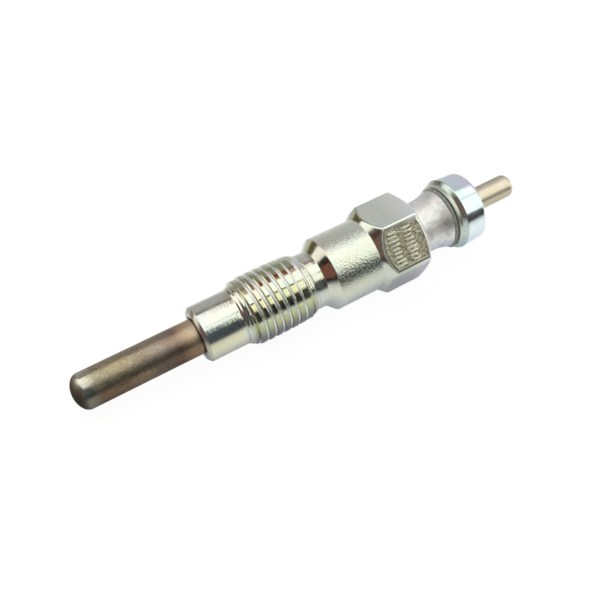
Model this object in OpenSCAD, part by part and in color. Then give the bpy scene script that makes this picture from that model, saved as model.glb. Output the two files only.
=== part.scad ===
// Diesel glow plug: a sheathed heater pressed into a threaded steel housing, with a pin terminal.
// The axis lies along X with the heater tip at -X and the terminal pin at +X.
// The origin is on the axis, where the sealing cone meets the relief behind the thread.

/* [Heater sheath] */
// Outside diameter of the heater sheath
heater_d = 5.2; // [4.8:0.1:5.6]
// Length of sheath standing out ahead of the nose
heater_reach = 18; // [13:0.5:24]
// Length of sheath pressed into the housing
sheath_grip = 14.5; // [11:0.5:15.5]
// Wall of the sheath
sheath_wall = 0.6; // [0.4:0.05:0.7]
// Height of the rounded tip
tip_rise = 1.7; // [1.2:0.1:2.4]
// Thickness of the welded tip on the axis
tip_wall = 1.4; // [0.9:0.1:1.8]
// Length of the seal that closes the open end of the sheath
seal_len = 3; // [2:0.25:4]

/* [Coils] */
// Wire diameter of both coils
wire_d = 0.4; // [0.3:0.05:0.5]
// Outside diameter of both coils
coil_d = 3.2; // [2.8:0.1:3.4]
// Turn spacing of the heating coil
heating_pitch = 0.8; // [0.65:0.05:1.1]
// Turns in the heating coil
heating_turns = 9; // [6:1:11]
// Turn spacing of the regulating coil
regulating_pitch = 1.1; // [0.8:0.05:1.3]
// Turns in the regulating coil
regulating_turns = 9; // [6:1:11]
// Turns of the regulating coil welded round the end of the centre rod
spigot_turns = 2; // [1:1:3]

/* [Centre rod] */
// Diameter of the rod inside the sheath
shank_d = 3; // [2.8:0.1:3.2]
// Diameter of the rod behind the sheath
rod_d = 4; // [3.8:0.1:4.2]
// Diameter of the terminal pin
pin_d = 3.6; // [3:0.1:3.7]
// Length of the terminal pin behind the collar
pin_reach = 8.3; // [6:0.5:12]
// Radius round the end of the terminal pin
pin_round = 0.9; // [0.4:0.1:1.3]

/* [Housing front] */
// Diameter of the plain nose
nose_d = 8.2; // [7.6:0.1:8.4]
// Length of the plain nose
nose_len = 6.05; // [4:0.25:9]
// Chamfer at the front edge of the nose
nose_chamfer = 0.45; // [0.2:0.05:0.7]
// Depth of the countersink where the sheath enters
mouth_chamfer = 0.25; // [0.1:0.05:0.4]
// Crest diameter of the engine thread
thread_d = 10; // [9.8:0.05:10.4]
// Length of full thread
thread_len = 8; // [6:0.5:12]
// Spacing of the thread's crests
thread_pitch = 1.25; // [1:0.05:1.5]
// Depth of the thread below its crests
thread_depth = 0.33; // [0.2:0.01:0.45]
// Width of the flat at the root of the thread
thread_root = 0.08; // [0.04:0.01:0.15]
// Angle between the flanks of the thread, in degrees
thread_angle = 60; // [50:1:70]
// Length of the cone that leads into the thread
thread_lead = 1.8; // [1:0.1:2.5]
// Length of the cone that ends the thread
thread_runout = 1.7; // [1:0.1:2.5]
// Diameter of the relief behind the thread
relief_d = 8.45; // [8.2:0.05:9]
// Length of the relief behind the thread
relief_len = 1.2; // [0.8:0.1:2.5]

/* [Housing rear] */
// Angle of the sealing cone to the axis, in degrees
seat_angle = 44; // [30:1:60]
// Diameter of the barrel
barrel_d = 11.05; // [10.6:0.05:11.6]
// Length of the barrel
barrel_len = 7; // [4:0.5:12]
// Hexagon across the flats
hex_af = 12; // [11.8:0.1:13]
// Length of the hexagon, chamfers included
hex_len = 7.85; // [5:0.25:11]
// Angle of the hexagon's front chamfer to the axis, in degrees
hex_front_angle = 42; // [35:1:60]
// Diameter of the flat face behind the hexagon
hex_back_d = 11.7; // [10.4:0.1:11.8]
// Angle of the hexagon's rear chamfer to the axis, in degrees
hex_back_angle = 60; // [45:1:70]
// Diameter of the swaged neck
neck_d = 8.1; // [7.8:0.1:8.6]
// Diameter of the lip at the end of the neck
lip_d = 8.8; // [8.2:0.1:9.2]
// Length of the neck
neck_len = 5.5; // [4:0.25:8]
// Length of the neck that flares out to the lip
flare_len = 2.6; // [1.5:0.1:3.5]

/* [Housing bore] */
// Bore round the centre rod behind the sheath
bore_d = 5; // [4.8:0.1:5.1]
// Bore that takes the seal ring and the insulating bush
bush_bore_d = 6.3; // [6:0.1:6.5]
// Depth of that bore from the end of the neck
bush_bore_depth = 8.5; // [6:0.25:12]

/* [Bush and collar] */
// Diameter of the insulating bush's flange
flange_d = 9.5; // [9:0.1:9.9]
// Thickness of the insulating bush's flange
flange_t = 0.65; // [0.4:0.05:1]
// Diameter of the step on the front of the collar
boss_d = 10; // [9.6:0.1:10.4]
// Length of the step on the front of the collar
boss_len = 0.5; // [0.3:0.05:0.9]
// Largest diameter of the collar
collar_d = 11.1; // [10.8:0.1:11.6]
// Length of the whole collar
collar_len = 4.85; // [4:0.25:7]
// Axial length of the collar's front chamfer
collar_chamfer = 0.7; // [0.4:0.05:1]
// How much the collar's radius falls from front to back
collar_fall = 0.22; // [0:0.02:0.3]
// Radius round the collar's rear edge
collar_round = 0.75; // [0.4:0.05:1]

/* [Fits] */
// Radial gap between pieces that are pressed or cast together
fit_gap = 0.01; // [0.005:0.005:0.03]

/* [Hidden] */
$fn = 96;
coil_steps = 18;
wire_sides = 8;
curve_steps = 14;
overrun = 0.5;

// Stations along the axis, from the tip to the pin
runout_x = -relief_len;
crest_end_x = runout_x - thread_runout;
crest_x = crest_end_x - thread_len;
lead_x = crest_x - thread_lead;
thread_mid_x = (crest_x + crest_end_x) / 2;
nose_x = lead_x - nose_len;
tip_x = nose_x - heater_reach;
sheath_end_x = nose_x + sheath_grip;
seat_end_x = (barrel_d - relief_d) / 2 / tan(seat_angle);
hex_x = seat_end_x + barrel_len;
hex_mid_x = hex_x + hex_len / 2;
hex_end_x = hex_x + hex_len;
neck_end_x = hex_end_x + neck_len;
bush_bore_x = neck_end_x - bush_bore_depth;
collar_x = neck_end_x + flange_t;
collar_end_x = collar_x + collar_len;
pin_end_x = collar_end_x + pin_reach;

// Inside of the sheath
cavity_r = heater_d / 2 - sheath_wall;
cavity_x = tip_x + tip_wall;
seal_x = sheath_end_x - seal_len;

// Coils: both are wound on one mean radius and meet end to end
wire_r = wire_d / 2;
coil_r = (coil_d - wire_d) / 2;
coil_in_r = (coil_r - wire_r) * cos(180 / coil_steps);
heating_x = cavity_x + wire_r + fit_gap;
regulating_x = heating_x + heating_turns * heating_pitch;
coil_end_x = regulating_x + regulating_turns * regulating_pitch;
spigot_r = coil_in_r - fit_gap;
spigot_x = coil_end_x - spigot_turns * regulating_pitch;
shank_x = coil_end_x + wire_r + fit_gap;
rod_step = (rod_d - shank_d) / 2;

// Seal ring and bush
ring_tube_r = (bush_bore_d - rod_d) / 4 - fit_gap;
ring_r = (bush_bore_d + rod_d) / 4;
ring_x = bush_bore_x + ring_tube_r + fit_gap;
bush_x = ring_x + ring_tube_r + fit_gap;

hex_corner_r = hex_af / sqrt(3);

// Turns an outline of [radius, X] points round the X axis
module turned(outline) {
    rotate([0, 90, 0]) rotate_extrude() polygon(outline);
}

// A plain tube or disc along X
module sleeve(from_x, to_x, outer_r, inner_r = 0) {
    turned([[inner_r, from_x], [outer_r, from_x], [outer_r, to_x], [inner_r, to_x]]);
}

// Points of a quarter ellipse in [radius, X], from the given start angle to the given end angle
function ellipse_points(centre, radius, rise, from_angle, to_angle) =
    [for (i = [0:curve_steps]) let (a = from_angle + (to_angle - from_angle) * i / curve_steps)
        [centre[0] + radius * cos(a), centre[1] + rise * sin(a)]];

// A wire wound round the X axis: one ring of points per step, each in a plane through the axis
module wound_wire(from_x, turns, pitch) {
    rings = turns * coil_steps;
    points = [for (i = [0:rings]) for (j = [0:wire_sides - 1])
        let (around = 360 * i / coil_steps, wire = 360 * j / wire_sides, r = coil_r + wire_r * cos(wire))
        [from_x + pitch * i / coil_steps + wire_r * sin(wire), r * cos(around), r * sin(around)]];
    sides = [for (i = [0:rings - 1]) for (j = [0:wire_sides - 1])
        let (here = i * wire_sides, next = (i + 1) * wire_sides, k = (j + 1) % wire_sides)
        [here + j, here + k, next + k, next + j]];
    start_cap = [for (j = [wire_sides - 1:-1:0]) j];
    end_cap = [for (j = [0:wire_sides - 1]) rings * wire_sides + j];
    polyhedron(points, concat([start_cap], sides, [end_cap]), convexity = 10);
}

// Hexagonal bar with a flat face down, cut to a cone at each end.
// The front cone starts below the barrel's skin and comes out of it at hex_x.
module hexagon() {
    front_grow = overrun * tan(hex_front_angle);
    back_grow = overrun * tan(hex_back_angle);
    front_cone_x = hex_x + (hex_corner_r - barrel_d / 2) / tan(hex_front_angle);
    back_cone_x = hex_end_x - (hex_corner_r - hex_back_d / 2) / tan(hex_back_angle);
    intersection() {
        translate([hex_x - 2 * overrun, 0, 0]) rotate([0, 90, 0]) rotate([0, 0, 30])
            cylinder(r = hex_corner_r, h = hex_len + 3 * overrun, $fn = 6);
        turned([[0, hex_x - overrun], [barrel_d / 2 - front_grow, hex_x - overrun],
                [hex_corner_r + front_grow, front_cone_x + overrun],
                [hex_corner_r + back_grow, back_cone_x - overrun],
                [hex_back_d / 2, hex_end_x], [0, hex_end_x]]);
    }
}

// Outline of the neck's flare, eased outwards to the lip by a quarter of a cosine wave
function flare_outline() =
    [for (i = [0:curve_steps]) let (t = i / curve_steps)
        [neck_d / 2 + (lip_d - neck_d) / 2 * (1 - cos(90 * t)), neck_end_x - flare_len * (1 - t)]];

// Thread grooves as plain rings, set out from the middle of the thread.
// They run on into the cones at its ends, where they grow shallower and die out.
module thread_grooves() {
    root_r = thread_d / 2 - thread_depth;
    rise = thread_depth + overrun;
    half_root = thread_root / 2;
    half_top = half_root + rise * tan(thread_angle / 2);
    first = ceil((lead_x - thread_mid_x) / thread_pitch - 0.5);
    last = floor((runout_x - thread_mid_x) / thread_pitch - 0.5);
    for (i = [first:last]) {
        x = thread_mid_x + (i + 0.5) * thread_pitch;
        turned([[root_r, x - half_root], [root_r + rise, x - half_top],
                [root_r + rise, x + half_top], [root_r, x + half_root]]);
    }
}

module housing() {
    color([0.78, 0.79, 0.75]) difference() {
        union() {
            turned(concat(
                [[0, nose_x], [nose_d / 2 - nose_chamfer, nose_x], [nose_d / 2, nose_x + nose_chamfer],
                 [nose_d / 2, lead_x], [thread_d / 2, crest_x], [thread_d / 2, crest_end_x],
                 [relief_d / 2, runout_x], [relief_d / 2, 0], [barrel_d / 2, seat_end_x],
                 [barrel_d / 2, hex_mid_x], [neck_d / 2, hex_mid_x]],
                flare_outline(), [[0, neck_end_x]]));
            hexagon();
        }
        thread_grooves();
        // Press bore for the sheath with a countersunk mouth, then the rod's bore, then the bush's bore
        sheath_r = heater_d / 2 + fit_gap;
        turned([[0, nose_x - overrun], [sheath_r + mouth_chamfer + overrun, nose_x - overrun],
                [sheath_r, nose_x + mouth_chamfer], [sheath_r, sheath_end_x + fit_gap],
                [bore_d / 2, sheath_end_x + fit_gap], [bore_d / 2, bush_bore_x],
                [bush_bore_d / 2, bush_bore_x],
                [bush_bore_d / 2, neck_end_x + overrun], [0, neck_end_x + overrun]]);
    }
}

module heater_sheath() {
    outer_r = heater_d / 2;
    color([0.44, 0.37, 0.29]) turned(concat(
        ellipse_points([0, tip_x + tip_rise], outer_r, tip_rise, -90, 0),
        [[outer_r, sheath_end_x], [cavity_r, sheath_end_x], [cavity_r, cavity_x], [0, cavity_x]]));
}

module heating_coil() {
    color([0.5, 0.46, 0.42]) wound_wire(heating_x, heating_turns, heating_pitch);
}

module regulating_coil() {
    color([0.66, 0.62, 0.55]) wound_wire(regulating_x, regulating_turns, regulating_pitch);
}

// Compacted powder: a core inside the coils and a sleeve between the coils, the rod and the sheath
module magnesia_fill() {
    outer_r = cavity_r - fit_gap;
    coil_bore_r = coil_d / 2 + fit_gap;
    rod_bore_r = shank_d / 2 + fit_gap;
    front_x = cavity_x + fit_gap;
    color([0.93, 0.92, 0.88]) {
        sleeve(front_x, spigot_x - fit_gap, spigot_r);
        turned([[coil_bore_r, front_x], [outer_r, front_x], [outer_r, seal_x - fit_gap],
                [rod_bore_r, seal_x - fit_gap], [rod_bore_r, shank_x], [coil_bore_r, shank_x]]);
    }
}

module sheath_seal() {
    color([0.35, 0.2, 0.14]) sleeve(seal_x, sheath_end_x, cavity_r - fit_gap, shank_d / 2 + fit_gap);
}

module centre_rod() {
    step_x = sheath_end_x + fit_gap;
    color([0.78, 0.68, 0.5]) turned(concat(
        [[0, spigot_x], [spigot_r, spigot_x], [spigot_r, shank_x], [shank_d / 2, shank_x],
         [shank_d / 2, step_x], [rod_d / 2, step_x + rod_step], [rod_d / 2, collar_end_x],
         [pin_d / 2, collar_end_x]],
        ellipse_points([pin_d / 2 - pin_round, pin_end_x - pin_round], pin_round, pin_round, 0, 90),
        [[0, pin_end_x]]));
}

module seal_ring() {
    color([0.12, 0.12, 0.12]) translate([ring_x, 0, 0]) rotate([0, 90, 0])
        rotate_extrude() translate([ring_r, 0]) circle(r = ring_tube_r, $fn = 32);
}

module insulating_bush() {
    hole_r = rod_d / 2 + fit_gap;
    sleeve_r = bush_bore_d / 2 - fit_gap;
    color([0.26, 0.26, 0.25]) turned([
        [hole_r, bush_x], [sleeve_r, bush_x], [sleeve_r, neck_end_x], [flange_d / 2, neck_end_x],
        [flange_d / 2, collar_x], [hole_r, collar_x]]);
}

module terminal_collar() {
    hole_r = rod_d / 2 + fit_gap;
    rim_x = collar_x + boss_len + collar_chamfer;
    back_r = collar_d / 2 - collar_fall;
    color([0.76, 0.8, 0.83]) turned(concat(
        [[hole_r, collar_x], [boss_d / 2, collar_x], [boss_d / 2, collar_x + boss_len],
         [collar_d / 2, rim_x]],
        ellipse_points([back_r - collar_round, collar_end_x - collar_round],
                       collar_round, collar_round, 0, 90),
        [[hole_r, collar_end_x]]));
}

housing();
heater_sheath();
heating_coil();
regulating_coil();
magnesia_fill();
sheath_seal();
centre_rod();
seal_ring();
insulating_bush();
terminal_collar();
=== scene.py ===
import math
import bpy
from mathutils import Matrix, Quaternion, Vector


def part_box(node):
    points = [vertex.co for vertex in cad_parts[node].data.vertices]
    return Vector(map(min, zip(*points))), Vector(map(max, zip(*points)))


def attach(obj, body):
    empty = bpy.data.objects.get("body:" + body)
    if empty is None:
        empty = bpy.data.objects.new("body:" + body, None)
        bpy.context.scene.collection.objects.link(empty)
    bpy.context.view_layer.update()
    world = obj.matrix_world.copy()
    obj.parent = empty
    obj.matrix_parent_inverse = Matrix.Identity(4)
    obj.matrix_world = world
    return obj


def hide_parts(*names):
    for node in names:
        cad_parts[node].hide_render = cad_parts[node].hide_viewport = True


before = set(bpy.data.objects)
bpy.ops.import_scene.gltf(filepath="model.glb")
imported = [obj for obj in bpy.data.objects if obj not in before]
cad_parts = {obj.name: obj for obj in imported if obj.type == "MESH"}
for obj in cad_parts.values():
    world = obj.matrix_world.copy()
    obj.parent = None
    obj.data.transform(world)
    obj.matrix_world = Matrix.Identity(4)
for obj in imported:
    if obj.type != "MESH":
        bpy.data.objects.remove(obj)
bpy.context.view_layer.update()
print("frame loaded:", len(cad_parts), "CAD nodes")

mm = 0.001
turnSteps = 96         # facets round a turned piece; six divides it, so hexagon corners fall on vertices
weld = 2e-6            # m, vertices closer than this become one
cutReach = 1e-8        # m, how near a cut a vertex counts as on it
nearby = 0.01          # mm, how near a surface a vertex or a face counts as on it
sharpAngle = math.radians(32)
grainRange = (0.3, 0.7)    # most values of a grain lie between these


# modelling helpers: an outline is a list of (x, radius) in mm, with an optional corner radius
def softOutline(outline, segments=4):
    points = []
    for i, corner in enumerate(outline):
        here = Vector(corner[:2])
        size = corner[2] if len(corner) > 2 else 0
        if not size:
            points.append(here)
            continue
        before = (Vector(outline[i - 1][:2]) - here).normalized()
        after = (Vector(outline[(i + 1) % len(outline)][:2]) - here).normalized()
        half = before.angle(after) / 2
        centre = here + (before + after).normalized() * size / math.sin(half)
        start = here + before * size / math.tan(half) - centre
        end = here + after * size / math.tan(half) - centre
        for k in range(segments + 1):
            points.append(centre + start.lerp(end, k / segments).normalized() * size)
    return points


def drawOutline(name, points):
    # one vertex, extruded from point to point in the plane above the axis; leaves the piece in edit mode
    bpy.ops.object.select_all(action='DESELECT')
    bpy.ops.mesh.primitive_plane_add(size=mm, location=(0, 0, 0))
    piece = bpy.context.object
    piece.name = name
    piece.data.name = name
    bpy.ops.object.mode_set(mode='EDIT')
    bpy.ops.mesh.select_mode(type='VERT')
    bpy.ops.mesh.select_all(action='SELECT')
    bpy.ops.mesh.merge(type='CENTER')
    bpy.ops.transform.translate(value=(points[0].x * mm, 0, points[0].y * mm))
    for here, there in zip(points, points[1:]):
        step = ((there.x - here.x) * mm, 0, (there.y - here.y) * mm)
        bpy.ops.mesh.extrude_vertices_move(TRANSFORM_OT_translate={"value": step})
    return piece


def weldAll():
    bpy.ops.mesh.select_all(action='SELECT')
    bpy.ops.mesh.remove_doubles(threshold=weld)
    bpy.ops.mesh.normals_make_consistent(inside=False)


def spinOutline(name, points):
    piece = drawOutline(name, points)
    bpy.ops.mesh.select_all(action='SELECT')
    bpy.ops.mesh.remove_doubles(threshold=weld)
    bpy.ops.mesh.spin(steps=turnSteps, angle=2 * math.pi, center=(0, 0, 0), axis=(1, 0, 0))
    weldAll()
    bpy.ops.object.mode_set(mode='OBJECT')
    return piece


def pickOnly(piece):
    bpy.ops.object.select_all(action='DESELECT')
    piece.select_set(True)
    bpy.context.view_layer.objects.active = piece


def pickNothing(kind):
    # leaves the active piece in object mode, ready for its vertices, edges or faces to be picked in code
    bpy.ops.object.mode_set(mode='EDIT')
    bpy.ops.mesh.select_mode(type=kind)
    bpy.ops.mesh.select_all(action='DESELECT')
    bpy.ops.object.mode_set(mode='OBJECT')


def finishMesh(piece):
    pickOnly(piece)
    bpy.ops.object.shade_smooth_by_angle(angle=sharpAngle)
    evenNormals = piece.modifiers.new("evenNormals", 'WEIGHTED_NORMAL')
    evenNormals.keep_sharp = True
    bpy.ops.object.modifier_apply(modifier=evenNormals.name)


def roundedTip(tipX, rise, radius, steps):
    # quarter of an ellipse, from the axis out to the tube
    points = []
    for k in range(steps + 1):
        turn = math.pi / 2 * k / steps
        points.append((tipX + rise * (1 - math.cos(turn)), radius * math.sin(turn)))
    return points


# node helpers
def startFinish(name):
    finish = bpy.data.materials.new(name)
    finish.use_nodes = True
    tree = finish.node_tree
    tree.nodes.clear()
    shader = tree.nodes.new("ShaderNodeBsdfPrincipled")
    output = tree.nodes.new("ShaderNodeOutputMaterial")
    tree.links.new(shader.outputs["BSDF"], output.inputs["Surface"])
    return finish, tree, shader


def coat(piece, finish):
    piece.data.materials.clear()
    piece.data.materials.append(finish)


def feed(tree, socket, value):
    if hasattr(value, "links"):
        tree.links.new(value, socket)
    else:
        socket.default_value = value


def placeInMm(tree, scale=(1, 1, 1)):
    coords = tree.nodes.new("ShaderNodeTexCoord")
    mapping = tree.nodes.new("ShaderNodeMapping")
    mapping.inputs["Scale"].default_value = [1000 * s for s in scale]
    tree.links.new(coords.outputs["Object"], mapping.inputs["Vector"])
    return mapping.outputs["Vector"]


def splitPlace(tree, place):
    split = tree.nodes.new("ShaderNodeSeparateXYZ")
    tree.links.new(place, split.inputs["Vector"])
    return split.outputs["X"], split.outputs["Y"], split.outputs["Z"]


def sums(tree, operation, first, second=0.0, third=None):
    node = tree.nodes.new("ShaderNodeMath")
    node.operation = operation
    feed(tree, node.inputs[0], first)
    feed(tree, node.inputs[1], second)
    if third is not None:
        feed(tree, node.inputs[2], third)
    return node.outputs["Value"]


def product(tree, first, *others):
    for other in others:
        first = sums(tree, 'MULTIPLY', first, other)
    return first


def fade(tree, value, fromLow, fromHigh, toLow=0.0, toHigh=1.0):
    node = tree.nodes.new("ShaderNodeMapRange")
    node.interpolation_type = 'SMOOTHSTEP'
    feed(tree, node.inputs["Value"], value)
    node.inputs["From Min"].default_value = fromLow
    node.inputs["From Max"].default_value = fromHigh
    node.inputs["To Min"].default_value = toLow
    node.inputs["To Max"].default_value = toHigh
    return node.outputs["Result"]


def fadeOut(tree, value, low, high, toHigh=0.0):
    return fade(tree, value, low, high, 1.0, toHigh)


def within(tree, value, start, end):
    # 1 between two soft edges, each given by where it begins and where it ends
    return product(tree, fade(tree, value, *start), fadeOut(tree, value, *end))


def grain(tree, place, scale, detail, roughness=0.5, distortion=0.0):
    node = tree.nodes.new("ShaderNodeTexNoise")
    tree.links.new(place, node.inputs["Vector"])
    node.inputs["Scale"].default_value = scale
    node.inputs["Detail"].default_value = detail
    node.inputs["Roughness"].default_value = roughness
    node.inputs["Distortion"].default_value = distortion
    return node.outputs["Fac"]


def tints(tree, value, stops):
    node = tree.nodes.new("ShaderNodeValToRGB")
    band = node.color_ramp
    while len(band.elements) < len(stops):
        band.elements.new(0.5)
    for element, (at, colour) in zip(band.elements, stops):
        element.position = at
        element.color = (*colour, 1)
    tree.links.new(value, node.inputs["Fac"])
    return node.outputs["Color"]


def tintsAlong(tree, value, stops):
    # the same, with its stops in the value's own units
    low, high = stops[0][0], stops[-1][0]
    share = sums(tree, 'DIVIDE', sums(tree, 'SUBTRACT', value, low), high - low)
    return tints(tree, share, [((at - low) / (high - low), colour) for at, colour in stops])


def blendTints(tree, amount, first, second, mode='MIX'):
    node = tree.nodes.new("ShaderNodeMix")
    node.data_type = 'RGBA'
    node.blend_type = mode
    feed(tree, node.inputs["Factor"], amount)
    for socket, value in ((node.inputs[6], first), (node.inputs[7], second)):
        feed(tree, socket, value if hasattr(value, "links") else (*value, 1))
    return node.outputs[2]


def glaze(tree, amount, shade, tone):
    return blendTints(tree, amount, shade, tone, 'MULTIPLY')


def relief(tree, height, distance):
    node = tree.nodes.new("ShaderNodeBump")
    node.inputs["Strength"].default_value = 1.0
    node.inputs["Distance"].default_value = distance * mm
    feed(tree, node.inputs["Height"], height)
    return node.outputs["Normal"]


# a pattern in a look is its grain (scale, detail, roughness, distortion) and what the grain turns into
def grainTints(tree, place, size, stops):
    return tints(tree, grain(tree, place, *size), stops)


def grainPolish(tree, place, size, ends):
    return fade(tree, grain(tree, place, *size), *grainRange, *ends)


def grainRelief(tree, place, size, distance):
    return relief(tree, grain(tree, place, *size), distance)


# camera, fitted to the outline of the photographed plug
cameraFit = {
    "lens": 44.82,
    "sensor": 36,
    "target": (-3.355, -1.274, -1.338),    # mm
    "distance": 106.26,                    # mm
    "azimuth": -22.5,                      # degrees from -Y towards +X
    "elevation": 41.4,
    "roll": -11.04,
    "clipStart": 0.005,                    # m
}
azimuth, elevation = math.radians(cameraFit["azimuth"]), math.radians(cameraFit["elevation"])
back = Vector((math.sin(azimuth) * math.cos(elevation), -math.cos(azimuth) * math.cos(elevation),
               math.sin(elevation)))
cameraData = bpy.data.cameras.new("productCamera")
cameraData.lens = cameraFit["lens"]
cameraData.sensor_width = cameraFit["sensor"]
cameraData.clip_start = cameraFit["clipStart"]
productCamera = bpy.data.objects.new("productCamera", cameraData)
bpy.context.scene.collection.objects.link(productCamera)
productCamera.location = (Vector(cameraFit["target"]) + back * cameraFit["distance"]) * mm
productCamera.rotation_mode = 'QUATERNION'
aim = (-back).to_track_quat('-Z', 'Y')
productCamera.rotation_quaternion = aim @ Quaternion((0, 0, 1), math.radians(cameraFit["roll"]))
bpy.context.scene.camera = productCamera
bpy.context.scene.view_settings.view_transform = 'Standard'
print("camera set")

# housing: one spun sheet from the nose round through the bore to the relief, closed by a screwed thread
shell = {
    "noseX": -18.75, "noseR": 4.1, "noseChamfer": 0.45, "mouth": 0.25, "mouthEdge": 0.04, "sheathBoreR": 2.61,
    "sheathEndX": -4.24, "rodBoreR": 2.5, "bushBoreX": 13.196, "bushBoreR": 3.15,
    "threadFrontX": -13.0, "threadRearX": -0.75, "reliefR": 4.225, "seatEndX": 1.346, "barrelR": 5.525,
    "turnedEdge": 0.12, "barrelEdge": 0.06,
    "hexX": 8.346, "hexEndX": 16.196, "hexFlat": 6.0, "hexBackR": 5.85, "hexBackEdge": 0.08,
    "hexFrontAngle": 42, "hexBackAngle": 60, "hexBreak": 0.2, "hexBreakSteps": 4,
    "markR": 7.5, "markInset": 2,          # two rings that are then pressed onto the hexagon's ends
    "neckR": 4.05, "neckFillet": 0.25, "neckRings": (18.0, 17.0),
    "flareX": 18.9, "lipX": 21.76, "lipR": 4.58, "lipEdge": 0.1, "flareSteps": 12,
    "swageFlats": 9, "swageDepth": 0.035, "swageMargin": 0.3, "swageWander": 0.9,
}
hexLength = shell["hexEndX"] - shell["hexX"]
frontMarkX, rearMarkX = shell["hexX"] + shell["markInset"], shell["hexEndX"] - shell["markInset"]
flare = []
for k in range(shell["flareSteps"] + 1):
    share = 1 - k / shell["flareSteps"]
    flare.append((shell["flareX"] + (shell["lipX"] - shell["flareX"]) * share,
                  shell["neckR"] + (shell["lipR"] - shell["neckR"]) * (1 - math.cos(math.pi / 2 * share))))
flare[0] = (*flare[0], shell["lipEdge"])
housingOutline = [
    (shell["threadFrontX"], shell["noseR"]),
    (shell["noseX"] + shell["noseChamfer"], shell["noseR"], shell["turnedEdge"]),
    (shell["noseX"], shell["noseR"] - shell["noseChamfer"], shell["turnedEdge"]),
    (shell["noseX"], shell["sheathBoreR"] + shell["mouth"], shell["mouthEdge"]),
    (shell["noseX"] + shell["mouth"], shell["sheathBoreR"]),
    (shell["sheathEndX"], shell["sheathBoreR"]), (shell["sheathEndX"], shell["rodBoreR"]),
    (shell["bushBoreX"], shell["rodBoreR"]), (shell["bushBoreX"], shell["bushBoreR"]),
    (shell["lipX"], shell["bushBoreR"]),
    *flare,
    *((ringX, shell["neckR"]) for ringX in shell["neckRings"]),
    (shell["hexEndX"], shell["neckR"], shell["neckFillet"]),
    (shell["hexEndX"], shell["hexBackR"], shell["hexBackEdge"]),
    (rearMarkX, shell["markR"]), (frontMarkX, shell["markR"]),
    (shell["hexX"], shell["barrelR"], shell["barrelEdge"]),
    (shell["seatEndX"], shell["barrelR"], shell["turnedEdge"]),
    (0.0, shell["reliefR"], shell["turnedEdge"]),
    (shell["threadRearX"], shell["reliefR"]),
]
housing = spinOutline("housingShell", softOutline(housingOutline))


def hexReach(angle):
    # distance from the axis to the hexagon at an angle from +Y, with corners at 0, 60, 120 degrees
    return shell["hexFlat"] / math.cos(math.radians(math.degrees(angle) % 60 - 30))


frontCone = math.tan(math.radians(shell["hexFrontAngle"]))
backCone = math.tan(math.radians(shell["hexBackAngle"]))
swageFrom, swageTo = shell["hexEndX"] + shell["swageMargin"], shell["lipX"] - shell["swageMargin"]
midWall = (shell["bushBoreR"] + shell["neckR"]) / 2
for vertex in housing.data.vertices:
    x, y, z = (n / mm for n in vertex.co)
    radius, angle = math.hypot(y, z), math.atan2(z, y)
    if abs(radius - shell["markR"]) < nearby:
        radius = hexReach(angle)
        if abs(x - frontMarkX) < nearby:
            x = shell["hexX"] + (radius - shell["barrelR"]) / frontCone
        else:
            x = shell["hexEndX"] - (radius - shell["hexBackR"]) / backCone
    elif swageFrom < x < swageTo and radius > midWall:
        # shallow flats left by swaging, fading out towards the hexagon and the lip
        window = math.sin(math.pi * (x - swageFrom) / (swageTo - swageFrom))
        wave = math.cos(shell["swageFlats"] * angle + shell["swageWander"] * math.sin(2 * angle))
        radius -= shell["swageDepth"] * window * (1 + wave) / 2
    vertex.co = (x * mm, radius * math.cos(angle) * mm, radius * math.sin(angle) * mm)

# break the hexagon's edges: its six corners and the two curved edges where the cones meet the flats
pickOnly(housing)
pickNothing('EDGE')
hexVertices = set()
for vertex in housing.data.vertices:
    if math.hypot(vertex.co.y, vertex.co.z) > (shell["hexFlat"] - nearby) * mm:
        hexVertices.add(vertex.index)
hexCornerR = shell["hexFlat"] / math.cos(math.pi / 6)
for edge in housing.data.edges:
    ends = [housing.data.vertices[i].co for i in edge.vertices]
    alongAxis = abs(ends[0].x - ends[1].x) > hexLength / 2 * mm
    atCorner = math.hypot(ends[0].y, ends[0].z) > (hexCornerR - nearby) * mm
    if set(edge.vertices) <= hexVertices and (atCorner or not alongAxis):
        edge.select = True
bpy.ops.object.mode_set(mode='EDIT')
bpy.ops.mesh.bevel(offset=shell["hexBreak"] * mm, offset_type='OFFSET', segments=shell["hexBreakSteps"],
                   affect='EDGES')
bpy.ops.object.mode_set(mode='OBJECT')

# the flat that faces the camera carries a sunk, roughened field with two columns of plain raised bars
field = {
    "margin": 0.26, "sunk": 0.07, "slope": 0.06, "halfWidth": 3.3,
    "wedge": 0.42, "wedgeFrom": 1.0, "wedgeReach": (0.2, 0.75),
    "columns": (10.85, 13.35), "rows": 9, "rowStep": 0.6, "drop": 0.12,
    "barLength": 1.85, "barWidth": 0.26, "barRise": 0.16, "barEdge": 0.045, "barEdgeSteps": 3,
    "sway": 0.12, "turn": 0.05, "shorten": 0.3, "wobble": (2.6, 1.7),    # how the bars differ from each other
}
outward = Vector((0, -math.cos(math.pi / 6), 0.5))
acrossFlat = Vector((0, 0.5, math.cos(math.pi / 6)))
pickNothing('FACE')
for face in housing.data.polygons:
    onFlat = face.center.dot(outward) > (shell["hexFlat"] - nearby) * mm
    face.select = face.normal.dot(outward) > 0.9999 and onFlat
bpy.ops.object.mode_set(mode='EDIT')
bpy.ops.mesh.dissolve_faces()
bpy.ops.mesh.inset(thickness=field["margin"] * mm, depth=0)
bpy.ops.mesh.inset(thickness=field["slope"] * mm, depth=-field["sunk"] * mm)
bpy.ops.object.mode_set(mode='OBJECT')
halfFlat = shell["hexFlat"] / math.sqrt(3)
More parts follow.
